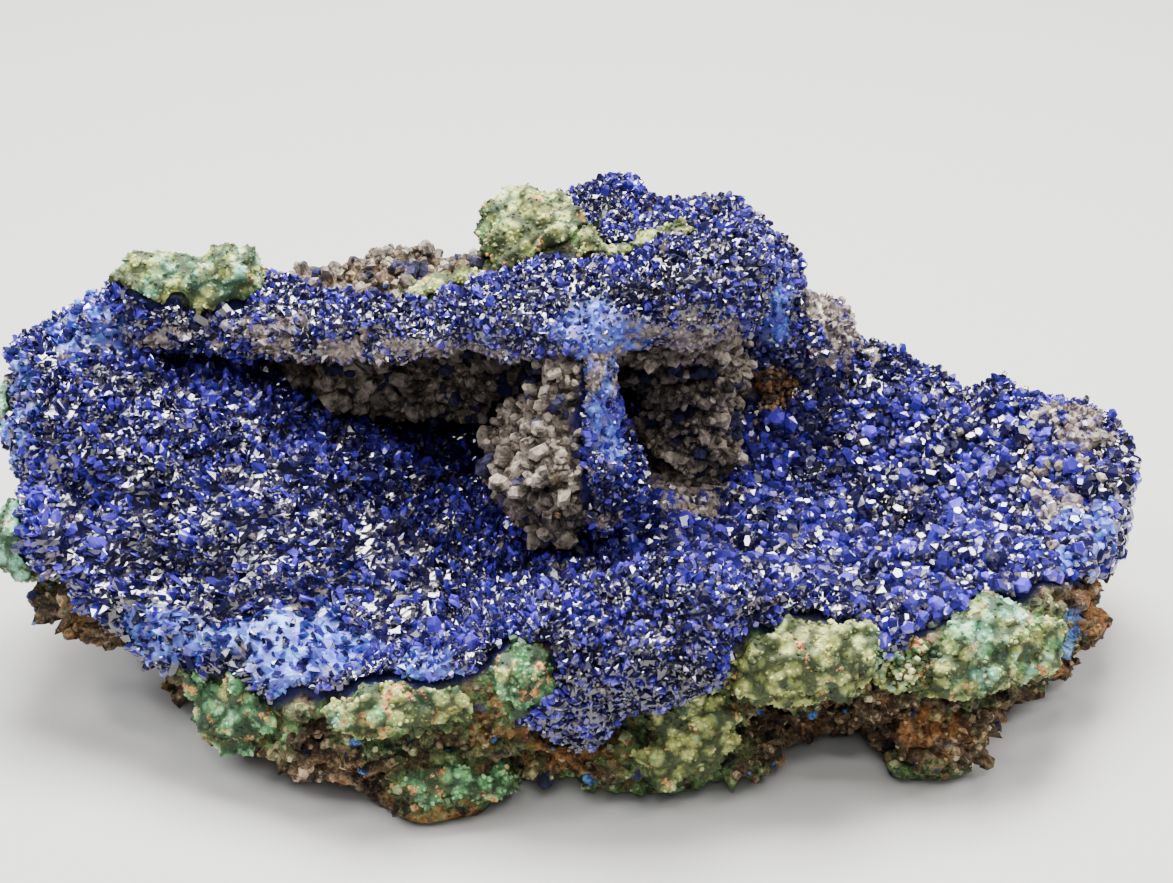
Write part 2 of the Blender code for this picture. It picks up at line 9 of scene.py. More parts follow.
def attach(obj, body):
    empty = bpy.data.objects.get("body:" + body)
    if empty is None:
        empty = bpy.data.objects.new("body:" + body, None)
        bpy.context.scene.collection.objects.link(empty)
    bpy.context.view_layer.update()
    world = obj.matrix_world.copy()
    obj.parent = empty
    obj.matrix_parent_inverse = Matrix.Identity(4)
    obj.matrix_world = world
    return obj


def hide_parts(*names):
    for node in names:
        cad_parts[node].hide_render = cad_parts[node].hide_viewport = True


mm = 0.001

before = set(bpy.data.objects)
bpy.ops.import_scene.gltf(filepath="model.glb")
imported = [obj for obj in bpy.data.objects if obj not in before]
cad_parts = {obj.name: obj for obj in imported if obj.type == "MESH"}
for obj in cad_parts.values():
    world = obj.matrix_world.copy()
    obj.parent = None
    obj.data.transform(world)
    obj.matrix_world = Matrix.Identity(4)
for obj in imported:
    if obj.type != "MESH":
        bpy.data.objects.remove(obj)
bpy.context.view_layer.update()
print("frame loaded with", len(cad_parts), "nodes")


def deselectAll():
    if bpy.context.object and bpy.context.object.mode != "OBJECT":
        bpy.ops.object.mode_set(mode="OBJECT")
    bpy.ops.object.select_all(action="DESELECT")


def pick(piece):
    deselectAll()
    piece.select_set(True)
    bpy.context.view_layer.objects.active = piece


def applyModifiers(piece):
    pick(piece)
    for modifier in list(piece.modifiers):
        bpy.ops.object.modifier_apply(modifier=modifier.name)


def selectFaces(piece, test):  # in edit mode: only the faces that pass the test
    shape = bmesh.from_edit_mesh(piece.data)
    for face in shape.faces:
        face.select_set(False)
    for face in shape.faces:
        if test(face):
            face.select_set(True)
    bmesh.update_edit_mesh(piece.data)


def copyOfNode(nodeName, name):
    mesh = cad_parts[nodeName].data.copy()
    mesh.materials.clear()
    piece = bpy.data.objects.new(name, mesh)
    bpy.context.collection.objects.link(piece)
    pick(piece)
    bpy.ops.object.mode_set(mode="EDIT")
    bpy.ops.mesh.select_all(action="SELECT")
    bpy.ops.mesh.remove_doubles(threshold=0.01 * mm)
    bpy.ops.object.mode_set(mode="OBJECT")
    return piece


def fuse(piece, grain, softening):
    remesh = piece.modifiers.new("fuse", "REMESH")
    remesh.mode = "VOXEL"
    remesh.voxel_size = grain * mm
    soften = piece.modifiers.new("soften", "SMOOTH")
    soften.factor = 0.5
    soften.iterations = softening
    applyModifiers(piece)


def roughen(piece, kind, size, strength, group="", layered=False):
    texture = bpy.data.textures.new(piece.name + kind, kind)
    texture.noise_scale = size * mm
    if kind == "CLOUDS":
        texture.noise_depth = 3
    modifier = piece.modifiers.new(kind, "DISPLACE")
    modifier.texture = texture
    modifier.texture_coords = "LOCAL"
    if layered:  # read through a flattened guide, so that the relief lies in ledges
        deselectAll()
        bpy.ops.object.empty_add(location=(0, 0, 0), rotation=(math.radians(8), math.radians(-6), 0))
        guide = bpy.context.object
        guide.scale = (1, 1, 0.22)
        modifier.texture_coords = "OBJECT"
        modifier.texture_coords_object = guide
        bpy.context.view_layer.update()
    modifier.mid_level = 0.5
    modifier.strength = strength * mm
    modifier.vertex_group = group
    applyModifiers(piece)
    if layered:
        bpy.data.objects.remove(guide)


def treeOf(*pieces):
    places, faces = [], []
    for piece in pieces:
        start = len(places)
        places += [vertex.co.copy() for vertex in piece.data.vertices]
        faces += [[start + k for k in face.vertices] for face in piece.data.polygons]
    return BVHTree.FromPolygons(places, faces)


def distances(points, tree, reach):  # in millimetres, to the nearest face of the tree
    found = [tree.find_nearest(Vector(point), reach * mm)[3] for point in points]
    return np.array([reach if distance is None else distance / mm for distance in found])


def vertexPlaces(piece):
    flat = np.zeros(len(piece.data.vertices) * 3)
    piece.data.vertices.foreach_get("co", flat)
    return flat.reshape(-1, 3)


def inPlaces(points, places, edge=0.35, wobble=2.5):
    # how far within any of the places (centre, half sizes) a point lies, 0 to 1, with an uneven edge
    scaled = points / mm
    uneven = np.array([noise.noise(Vector(point) / (wobble * mm)) for point in points])
    inside = np.zeros(len(points))
    for centre, halves in places:
        reach = np.sqrt((((scaled - np.array(centre)) / np.array(halves)) ** 2).sum(1))
        inside = np.maximum(inside, np.clip((1 - reach + 0.45 * uneven) / edge, 0, 1))
    return inside


def nearTo(points, tree, reach):  # 1 at the tree's faces, 0 at the reach, with an uneven edge
    uneven = np.array([noise.fractal(Vector(point) / (2.2 * mm), 1, 2, 3) for point in points])
    return np.clip(1.15 - distances(points, tree, reach) / reach * 1.5 + 0.7 * uneven, 0, 1)


def setAttribute(piece, name, values):
    attribute = piece.data.attributes.get(name) or piece.data.attributes.new(name, "FLOAT", "POINT")
    attribute.data.foreach_set("value", np.asarray(values, np.float32))


def standFor(piece, slotName, material, *nodeNames):
    piece.data.materials.clear()
    piece.data.materials.append(material)
    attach(piece, "root")
    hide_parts(*nodeNames)


# shader wiring

class Wire:  # a socket that takes sums as Python writes them
    def __init__(self, finish, socket):
        self.finish = finish
        self.socket = socket

    def sum(self, operation, first, second):
        return self.finish.add("ShaderNodeMath", {"operation": operation}, {0: first, 1: second})["Value"]

    def __add__(self, other):
        return self.sum("ADD", self, other)

    def __radd__(self, other):
        return self.sum("ADD", other, self)

    def __sub__(self, other):
        return self.sum("SUBTRACT", self, other)

    def __rsub__(self, other):
        return self.sum("SUBTRACT", other, self)

    def __mul__(self, other):
        return self.sum("MULTIPLY", self, other)

    def __rmul__(self, other):
        return self.sum("MULTIPLY", other, self)


class Part:  # a node, with its outputs as wires
    def __init__(self, finish, node):
        self.finish = finish
        self.node = node

    def __getitem__(self, output):
        return Wire(self.finish, self.node.outputs[output])


class Finish:
    def __init__(self, name, constants):
        self.material = bpy.data.materials.new(name)
        self.material.use_nodes = True
        self.tree = self.material.node_tree
        self.shader = self.tree.nodes["Principled BSDF"]
        for socket, value in constants.items():
            self.shader.inputs[socket].default_value = value
        self.place = self.add("ShaderNodeTexCoord", {}, {})["Object"]

    def add(self, kind, settings, values):
        node = self.tree.nodes.new(kind)
        for setting, value in settings.items():
            if setting == "stops":
                ramp = node.color_ramp
                while len(ramp.elements) < len(value):
                    ramp.elements.new(0.5)
                for element, (position, colour) in zip(ramp.elements, value):
                    element.position = position
                    element.color = (*colour, 1)
            else:
                setattr(node, setting, value)
        for socket, value in values.items():
            if isinstance(value, Wire):
                self.tree.links.new(value.socket, node.inputs[socket])
            else:
                node.inputs[socket].default_value = value
        return Part(self, node)

    def attribute(self, name):
        return self.add("ShaderNodeAttribute", {"attribute_name": name}, {})["Fac"]

    def clouds(self, size, detail=4, roughness=0.55):  # size in millimetres
        values = {"Vector": self.place, "Scale": 1 / (size * mm), "Detail": detail, "Roughness": roughness}
        return self.add("ShaderNodeTexNoise", {}, values)["Fac"]

    def cells(self, size, feature="F1"):
        values = {"Vector": self.place, "Scale": 1 / (size * mm)}
        return self.add("ShaderNodeTexVoronoi", {"feature": feature}, values)

    def ramp(self, factor, stops):
        return self.add("ShaderNodeValToRGB", {"stops": stops}, {"Fac": factor})["Color"]

    def step(self, value, start, end):
        values = {"Value": value, "From Min": start, "From Max": end, "To Min": 0, "To Max": 1}
        return self.add("ShaderNodeMapRange", {"clamp": True}, values)["Result"]

    def mix(self, factor, first, second, blend="MIX"):
        def colour(value):
            return value if isinstance(value, Wire) else (*value, 1)
        node = self.add("ShaderNodeMix", {"data_type": "RGBA", "blend_type": blend}, {0: factor, 6: colour(first), 7: colour(second)})
        return Wire(self, node.node.outputs[2])

    def bump(self, height, strength, depth):
        values = {"Height": height, "Strength": strength, "Distance": depth * mm}
        return self.add("ShaderNodeBump", {}, values)["Normal"]

    def set(self, **wires):
        names = {"colour": "Base Color", "roughness": "Roughness", "coat": "Coat Weight", "normal": "Normal"}
        for name, wire in wires.items():
            self.tree.links.new(wire.socket, self.shader.inputs[names[name]])
        return self.material


azuriteLook = {
    "deep": [(0, (0.002, 0.0015, 0.010)), (0.4, (0.007, 0.005, 0.05)), (0.75, (0.024, 0.014, 0.24)), (1, (0.09, 0.055, 0.58))],
    "sky": [(0.38, (0.020, 0.022, 0.26)), (0.52, (0.045, 0.08, 0.50)), (0.66, (0.14, 0.32, 0.84))],
    "dust": [(0.4, (0.055, 0.042, 0.035)), (0.6, (0.33, 0.26, 0.20))],
    "roughness": 0.08,
}


def azuriteMaterial():
    look = azuriteLook
    finish = Finish("azurite", {"IOR": 1.74, "Coat Roughness": 0.04, "Metallic": 0.0})
    pale = finish.attribute("pale")
    patches = finish.clouds(6, 3)
    tint = finish.attribute("tint") + 1.0 * (patches - 0.5)
    deep = finish.ramp(tint, look["deep"])
    sky = finish.ramp(finish.clouds(1.2, 4), look["sky"])
    colour = finish.mix(pale, deep, sky)
    dust = finish.step(finish.clouds(1.8, 6, 0.7) + 0.17 * finish.attribute("dusty"), 0.60, 0.66)
    colour = finish.mix(dust * 0.85, colour, finish.ramp(finish.clouds(0.7, 4), look["dust"]))
    roughness = look["roughness"] + 0.14 * finish.clouds(0.8, 2) + 0.4 * pale + 0.3 * dust
    return finish.set(colour=colour, roughness=roughness, coat=0.5 * (1 - pale))


rockLook = {
    "brown": [(0.34, (0.014, 0.009, 0.007)), (0.45, (0.07, 0.043, 0.026)), (0.56, (0.26, 0.18, 0.10)), (0.68, (0.66, 0.53, 0.35))],
    "orange": [(0.36, (0.09, 0.03, 0.01)), (0.5, (0.38, 0.17, 0.05)), (0.66, (0.78, 0.52, 0.25))],
    "tan": [(0.32, (0.055, 0.044, 0.038)), (0.5, (0.24, 0.20, 0.165)), (0.68, (0.58, 0.50, 0.41))],
    "sky": [(0.36, (0.01, 0.04, 0.30)), (0.66, (0.16, 0.38, 0.78))],
    "green": [(0.36, (0.010, 0.028, 0.012)), (0.5, (0.11, 0.21, 0.07)), (0.64, (0.48, 0.58, 0.30))],
    "shadow": [(0.38, (0.07, 0.06, 0.06)), (0.52, (1, 1, 1))],
}


def rockMaterial():
    look = rockLook
    finish = Finish("limoniteRock", {"Metallic": 0.0, "IOR": 1.45, "Specular IOR Level": 0.35})
    fine = finish.clouds(0.9, 8, 0.68)
    broad = finish.clouds(6, 4)
    speckle = finish.clouds(0.45, 4, 0.7)
    shade = 0.42 * fine + 0.18 * broad + 0.15 * speckle + 0.25 * finish.attribute("tint")
    brown = finish.ramp(shade, look["brown"])
    orange = finish.ramp(shade, look["orange"])
    tan = finish.ramp(0.6 * fine + 0.4 * finish.attribute("tint"), look["tan"])
    green = finish.ramp(shade, look["green"])
    rust = finish.step(finish.clouds(3.1, 6, 0.65), 0.53, 0.62)
    moss = finish.step(finish.clouds(2.4, 6, 0.65), 0.58, 0.66)
    colour = finish.mix(rust * 0.6, brown, orange)
    colour = finish.mix(moss * 0.5, colour, green)
    patchy = finish.step(finish.clouds(1.3, 6, 0.7), 0.42, 0.54)
    colour = finish.mix(finish.attribute("orange") * patchy, colour, orange)
    colour = finish.mix(finish.attribute("tan"), colour, tan)
    colour = finish.mix(finish.attribute("green") * finish.step(finish.clouds(1.1, 6, 0.7), 0.40, 0.52), colour, green)
    colour = finish.mix(finish.attribute("sky"), colour, finish.ramp(fine, look["sky"]))
    colour = finish.mix(finish.attribute("blue"), colour, (0.006, 0.007, 0.07))
    pits = finish.cells(0.9)["Distance"]
    relief = fine + 0.4 * pits + 0.4 * speckle
    colour = finish.mix(1.0, colour, finish.ramp(finish.clouds(1.6, 6, 0.7), look["shadow"]), "MULTIPLY")
    roughness = 0.95 - 0.25 * speckle
    return finish.set(colour=colour, roughness=roughness, normal=finish.bump(relief, 0.9, 0.4))


malachiteLook = {
    "green": [(0.32, (0.012, 0.04, 0.018)), (0.44, (0.06, 0.21, 0.075)), (0.54, (0.20, 0.46, 0.19)), (0.68, (0.60, 0.78, 0.50))],
    "yellow": [(0.32, (0.045, 0.055, 0.014)), (0.44, (0.22, 0.26, 0.06)), (0.54, (0.50, 0.54, 0.17)), (0.68, (0.82, 0.82, 0.48))],
    "mint": [(0.32, (0.02, 0.12, 0.07)), (0.48, (0.20, 0.50, 0.33)), (0.66, (0.62, 0.84, 0.68))],
    "rust": [(0.42, (0.16, 0.055, 0.015)), (0.6, (0.74, 0.40, 0.13))],
    "crease": [(0.34, (1, 1, 1)), (0.62, (0.10, 0.13, 0.09))],
}


def malachiteMaterial():
    look = malachiteLook
    finish = Finish("malachite", {"Metallic": 0.0, "IOR": 1.6, "Specular IOR Level": 0.4})
    fine = finish.clouds(0.8, 7, 0.68)
    shade = 0.5 * fine + 0.3 * finish.clouds(2.8, 4) + 0.2 * finish.attribute("tint")
    colour = finish.ramp(shade, look["green"])
    yellow = finish.step(finish.clouds(3.2, 5, 0.6) + 0.3 * finish.attribute("yellow"), 0.52, 0.64)
    mint = finish.step(finish.clouds(2.7, 5, 0.6) + 0.3 * finish.attribute("mint"), 0.60, 0.70)
    colour = finish.mix(yellow, colour, finish.ramp(shade, look["yellow"]))
    colour = finish.mix(mint, colour, finish.ramp(shade, look["mint"]))
    # painted shade: a dark green is multiplied in towards the edges of voronoi cells, standing in for the shade in the
    # creases between the lumps
    colour = finish.mix(1.0, colour, finish.ramp(finish.cells(1.5)["Distance"], look["crease"]), "MULTIPLY")
    rust = finish.step(finish.clouds(1.9, 6, 0.65) + 0.07 * finish.attribute("rust"), 0.64, 0.68)
    colour = finish.mix(rust, colour, finish.ramp(fine, look["rust"]))
    roughness = 0.85 - 0.3 * finish.clouds(0.5, 2)
    return finish.set(colour=colour, roughness=roughness, normal=finish.bump(fine, 0.6, 0.3))


azuriteFinish = azuriteMaterial()
rockFinish = rockMaterial()
malachiteFinish = malachiteMaterial()
print("materials made")


# small shapes that are scattered, each modelled once and standing one unit high

def shaped(name, sides, bodyHeight, tipSize, tipShift, baseSize=1.0):
    deselectAll()
    bpy.ops.mesh.primitive_cylinder_add(vertices=sides, radius=0.5, depth=bodyHeight, location=(0, 0, bodyHeight / 2))
    piece = bpy.context.object
    piece.name = name
    bpy.ops.object.transform_apply(location=True, rotation=True, scale=True)
    bpy.ops.object.mode_set(mode="EDIT")
    bpy.ops.mesh.select_mode(type="FACE")
    selectFaces(piece, lambda face: face.normal.z < -0.9)
    bpy.ops.transform.resize(value=(baseSize, baseSize, 1))
    selectFaces(piece, lambda face: face.normal.z > 0.9)
    rise = 1 - bodyHeight
    bpy.ops.mesh.extrude_region_move(TRANSFORM_OT_translate={"value": (tipShift[0], tipShift[1], rise)})
    bpy.ops.transform.resize(value=(tipSize[0], tipSize[1], 1))
    bpy.ops.object.mode_set(mode="OBJECT")
    return taken(piece)


def lumpShape(name, squash):
    deselectAll()
    bpy.ops.mesh.primitive_ico_sphere_add(subdivisions=1, radius=0.5, location=(0, 0, 0.5))
    piece = bpy.context.object
    piece.name = name
    bpy.ops.object.transform_apply(location=True, rotation=True, scale=True)
    bpy.ops.object.mode_set(mode="EDIT")
    bpy.ops.mesh.select_mode(type="FACE")
    selectFaces(piece, lambda face: face.calc_center_median().z > 0.6)
    bpy.ops.transform.resize(value=(squash, 1, 1))
    bpy.ops.object.mode_set(mode="OBJECT")
    return taken(piece)


def taken(piece):  # the shape's corners and faces, with the object put away
    corners = vertexPlaces(piece)
    faces = [list(face.vertices) for face in piece.data.polygons]
    bpy.data.objects.remove(piece)
    return corners, faces


blades = [
    shaped("bladeStraight", 4, 0.72, (0.62, 0.12), (0.0, 0.0)),
    shaped("bladeSkewed", 4, 0.62, (0.42, 0.16), (0.17, 0.04)),
    shaped("bladeWedge", 4, 0.80, (0.16, 0.75), (0.10, 0.0)),
]
blocks = [
    shaped("blockSixSided", 6, 0.70, (0.60, 0.35), (0.06, 0.0)),
    shaped("blockFlatTopped", 5, 0.82, (0.72, 0.6), (0.0, 0.05)),
    shaped("blockFourSided", 4, 0.66, (0.55, 0.5), (-0.08, 0.06)),
]
lumps = [lumpShape("lumpRound", 0.9), lumpShape("lumpLong", 0.7)]
print("crystal and lump shapes modelled")


def samplesOn(piece, weights, count, seed):
    # points picked evenly over the faces, each face as likely as its area times its weight
    draw = np.random.default_rng(seed)
    mesh = piece.data
    mesh.calc_loop_triangles()
    corners = np.zeros(len(mesh.loop_triangles) * 3, np.int32)
    mesh.loop_triangles.foreach_get("vertices", corners)
    corners = corners.reshape(-1, 3)
    places = vertexPlaces(piece)
    a, b, c = (places[corners[:, k]] for k in range(3))
    across = np.cross(b - a, c - a)
    chance = np.linalg.norm(across, axis=1) * weights[corners].mean(1)
    chosen = draw.choice(len(corners), count, p=chance / chance.sum())
    u, v = draw.random(count), draw.random(count)
    over = u + v > 1
    u[over], v[over] = 1 - u[over], 1 - v[over]
    points = a[chosen] + (b - a)[chosen] * u[:, None] + (c - a)[chosen] * v[:, None]
    normals = np.zeros(len(mesh.vertices) * 3)
    mesh.vertices.foreach_get("normal", normals)
    facing = normals.reshape(-1, 3)[corners[chosen]].mean(1)
    return points, facing / np.linalg.norm(facing, axis=1)[:, None]


def spaced(points, spacing):  # the points that keep their distance from those before them
    cells, kept = {}, []
    limit = (spacing * mm) ** 2
    keys = np.floor(points / (spacing * mm)).astype(int)
    near = [(i, j, k) for i in (-1, 0, 1) for j in (-1, 0, 1) for k in (-1, 0, 1)]
    for number, (key, point) in enumerate(zip(keys.tolist(), points.tolist())):
        free = True
        for i, j, k in near:
            for x, y, z in cells.get((key[0] + i, key[1] + j, key[2] + k), ()):
                if (x - point[0]) ** 2 + (y - point[1]) ** 2 + (z - point[2]) ** 2 < limit:
                    free = False
                    break
            if not free:
                break
        if free:
            cells.setdefault(tuple(key), []).append(point)
            kept.append(number)
    return np.array(kept)


def scattered(name, shapes, points, ups, heights, widths, depths, seed, smooth=False, **attributes):
    # one mesh of many copies: copy n stands at points[n] along ups[n], turned about it at random
    draw = np.random.default_rng(seed)
    count = len(points)
    kinds = draw.integers(0, len(shapes), count)
    ups = ups / np.linalg.norm(ups, axis=1)[:, None]
    sides = np.cross(ups, draw.normal(size=(count, 3)))
    sides /= np.linalg.norm(sides, axis=1)[:, None]
    fronts = np.cross(ups, sides)
    places, loops, starts, owners = [], [], [], []
    placed = looped = 0
    for kind, (corners, faces) in enumerate(shapes):
        mine = np.flatnonzero(kinds == kind)
        x = sides[mine, None] * (corners[None, :, 0, None] * widths[mine, None, None])
        y = fronts[mine, None] * (corners[None, :, 1, None] * depths[mine, None, None])
        z = ups[mine, None] * (corners[None, :, 2, None] * heights[mine, None, None])
        places.append((points[mine, None] + (x + y + z) * mm).reshape(-1, 3))
        flat = np.array([corner for face in faces for corner in face])
        begins = np.cumsum([0] + [len(face) for face in faces[:-1]])
        offsets = placed + np.arange(len(mine)) * len(corners)
        loops.append((flat[None] + offsets[:, None]).ravel())
        starts.append((begins[None] + looped + (np.arange(len(mine)) * len(flat))[:, None]).ravel())
        owners.append(np.repeat(mine, len(corners)))
        placed += len(mine) * len(corners)
        looped += len(mine) * len(flat)
    places, loops, starts, owners = (np.concatenate(part) for part in (places, loops, starts, owners))
    mesh = bpy.data.meshes.new(name)
    mesh.vertices.add(len(places))
    mesh.vertices.foreach_set("co", places.ravel())
    mesh.loops.add(len(loops))
    mesh.loops.foreach_set("vertex_index", loops.astype(np.int32))
    mesh.polygons.add(len(starts))
    mesh.polygons.foreach_set("loop_start", starts.astype(np.int32))
    mesh.update(calc_edges=True)
    mesh.validate()
    piece = bpy.data.objects.new(name, mesh)
    bpy.context.collection.objects.link(piece)
    for attribute, values in attributes.items():
        setAttribute(piece, attribute, np.asarray(values)[owners])
    if smooth:
        mesh.shade_smooth()
    else:
        mesh.shade_flat()
    triangles = sum(len(face.vertices) - 2 for face in mesh.polygons)
    print(name, count, "copies,", triangles, "triangles")
    return piece


# the rock: the CAD solid with finer relief where no crust covers it

rock = {
    "grain": 0.56,
    "softening": 4,
    "ledges": [("CLOUDS", 6.0, 6.0), ("CLOUDS", 3.0, 4.0)],
    "relief": [("VORONOI", 2.4, -1.6), ("CLOUDS", 0.9, 2.2)],
    "smoothNearCrust": (0.4, 1.8),  # relief fades in between these distances
}
tanPlaces = [
    ((20, 17.5, 22.5), (4, 5, 3.5)), ((12, 9.5, 25), (7, 7, 14)), ((-2.5, -5, 27), (5, 6, 12)),
    ((27, 20, 29), (4, 4, 4)), ((-15, 13, 28), (26, 8, 9)), ((10, 3, 35), (8, 6, 4)),
]
orangePlaces = [
    ((20.5, 17, 22.5), (3.6, 5, 3.4)), ((51, -7, 12), (5, 6, 6)), ((-12, -27, 3), (6, 4, 4)),
    ((33, -19, 6), (4, 6, 3)), ((-7, -26, 11), (4, 4, 4)), ((-1, -24, 5), (6, 4, 3.4)),
    ((14, -24, 14), (4, 4, 3)), ((-24, -20, 6), (8, 5, 2.4)), ((-18, 27, 16), (10, 4, 5)),
]
mossPlaces = [((33, -21, 1.5), (5, 5, 2.6)), ((7, -22, 2), (14, 6, 3.5)), ((44, -12, 9), (6, 5, 4))]
skyPlaces = [((-47.5, 7, 34), (5, 6, 5)), ((20, 16, 33), (4, 5, 6)), ((45, -12, 11), (5, 5, 3))]

crustNodes = [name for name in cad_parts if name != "matrix"]
crustTree = treeOf(*(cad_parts[name] for name in crustNodes))
greenTree = treeOf(*(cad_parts[name] for name in crustNodes if name.startswith("malachite")))
azuriteTree = treeOf(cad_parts["azurite_crust"])
solidRock = treeOf(copyOfNode("matrix", "rockAsSolid"))
bpy.data.objects.remove(bpy.data.objects["rockAsSolid"])

rockBody = copyOfNode("matrix", "limoniteRock")
fuse(rockBody, rock["grain"], rock["softening"])
bare = rockBody.vertex_groups.new(name="bare")
toCrust = distances(vertexPlaces(rockBody), crustTree, 3)
near, far = rock["smoothNearCrust"]
bareness = np.clip((toCrust - near) / (far - near), 0, 1)
bareness *= np.clip((vertexPlaces(rockBody)[:, 2] / mm - 0.6) / 2.0, 0, 1)  # and towards the ground
for index, weight in enumerate(bareness):
    bare.add([index], float(weight), "REPLACE")
for kind, size, strength in rock["ledges"]:
    roughen(rockBody, kind, size, strength, "bare", layered=True)
for kind, size, strength in rock["relief"]:
    roughen(rockBody, kind, size, strength, "bare")
rockPlaces = vertexPlaces(rockBody)
setAttribute(rockBody, "tan", inPlaces(rockPlaces, tanPlaces))
setAttribute(rockBody, "orange", inPlaces(rockPlaces, orangePlaces))
setAttribute(rockBody, "sky", inPlaces(rockPlaces, skyPlaces))
toBlue = distances(rockPlaces, azuriteTree, 3)
greenness = nearTo(rockPlaces, greenTree, 4.5)
setAttribute(rockBody, "blue", np.clip((0.9 - toBlue) / 0.5, 0, 1))
setAttribute(rockBody, "green", np.maximum(greenness, inPlaces(rockPlaces, mossPlaces)))
setAttribute(rockBody, "tint", np.full(len(rockPlaces), 0.35))
rockBody.data.shade_smooth()
standFor(rockBody, "limonite_rock", rockFinish, "matrix")
print("rock:", 2 * len(rockBody.data.polygons), "triangles")


# the azurite crust: a bed over the CAD crust, then crystals standing on it

azurite = {
    "grain": 0.5,
    "softening": 8,
    "candidates": 110000,
    "spacing": 0.42,
    "blockSpacing": 0.52,  # between the wider crystals
    "clumps": [("VORONOI", 3.2, -1.0), ("CLOUDS", 5.0, 1.6)],
    "sunk": 0.38,     # share of a crystal's height below the bed
    "scatter": 0.38,  # how unevenly they stand
}
# centre, half sizes, height, width, depth, lean, share of the lean, blades or blocks
stretches = {
    "azuriteOnNodule": ((6, -24, 18), (10, 7, 8), 1.05, 0.75, 0.5, (0, -0.3, 1), 0.2, blades),
    "azuriteOnLeftEdge": ((-40, -2, 32), (18, 14, 8), 1.4, 0.75, 0.42, (-0.8, -0.4, 0.3), 0.45, blades),
    "azuriteOnLeftSlope": ((-34, -14, 19), (22, 13, 10), 1.75, 0.72, 0.38, (-1, -0.1, 0.15), 0.7, blades),
    "azuriteInMiddle": ((-12, -9, 17), (16, 16, 8), 1.3, 0.75, 0.45, (0.1, -0.1, 1), 0.25, blades),
    "azuriteInBasin": ((33, 0, 16), (29, 22, 9), 1.15, 1.15, 1.05, (0, -0.1, 1), 0.15, blocks),
    "azuriteOnBrow": ((-8, 3, 40), (48, 14, 10), 0.85, 0.62, 0.45, (0, -0.2, 1), 0.1, blades),
    "azuriteOnRidge": ((20, 18, 30), (14, 14, 18), 0.95, 0.7, 0.55, (0, 0, 1), 0.1, blocks),
    "azuriteElsewhere": ((0, 0, 20), (200, 200, 200), 1.0, 0.7, 0.45, (0, 0, 1), 0.1, blades),
}
palePlaces = [
    ((-47.5, 7, 34), (4.5, 5, 4)), ((-53, 0, 27), (3, 7, 8)), ((-25, -20.5, 15), (9, 5, 3.4)),
    ((3.4, -4, 37.5), (4, 5, 3)), ((50, -7, 18), (8, 6, 3)), ((-37, -17, 14), (7, 4, 2.6)),
    ((20, 14, 32), (2.6, 5, 5)), ((-13, -25, 15), (4, 3, 2.4)), ((2, -4, 40), (4, 3, 3)), ((3, -5, 30), (2, 4, 6)),
]
dustyPlaces = [
    ((-10, 0, 34.5), (44, 8, 3.4)), ((10, -3, 36.5), (8, 8, 4.5)), ((4.5, -23, 12.8), (3.2, 4, 2.8)),
    ((10.9, -21.5, 15.8), (2.2, 4, 2.4)), ((27, 20, 28), (6, 5, 6)), ((0, -4, 22), (5, 8, 4)),
    ((51, 10, 21), (4, 5, 3)), ((48, 1, 18), (3, 4, 3)), ((12, 7, 16), (6, 7, 5)),
]
seamPlaces = [((30.5, -20.8, 13.4), (3.6, 5, 3)), ((14.2, -23, 14.5), (2.4, 3, 3))]  # malachite closes over these
scarPlaces = [((20.6, 17.2, 22.4), (3.0, 4, 2.8)), ((35, -17.5, 15.2), (2, 2.5, 2))]  # bare orange and tan scars
vividPlaces = [
    ((4, -22, 19), (7, 5, 3)), ((-48, -8, 22), (7, 7, 6)), ((2, -3, 28), (4, 6, 6)), ((20, 14, 36), (5, 6, 6)),
    ((-3, -25.5, 13), (3, 4, 3)), ((-20, -12, 15), (8, 5, 4)),
]

bed = copyOfNode("azurite_crust", "azuriteBed")
fuse(bed, azurite["grain"], azurite["softening"])
for kind, size, strength in azurite["clumps"]:
    roughen(bed, kind, size, strength)
bedPlaces = vertexPlaces(bed)
offRock = distances(bedPlaces, solidRock, 4)
draw = np.random.default_rng(2)
setAttribute(bed, "tint", 0.05 + 0.15 * draw.random(len(bedPlaces)))
setAttribute(bed, "dusty", inPlaces(bedPlaces, dustyPlaces))
setAttribute(bed, "pale", inPlaces(bedPlaces, palePlaces))
standFor(bed, "azurite", azuriteFinish, "azurite_crust")
print("azurite bed:", 2 * len(bed.data.polygons), "triangles")

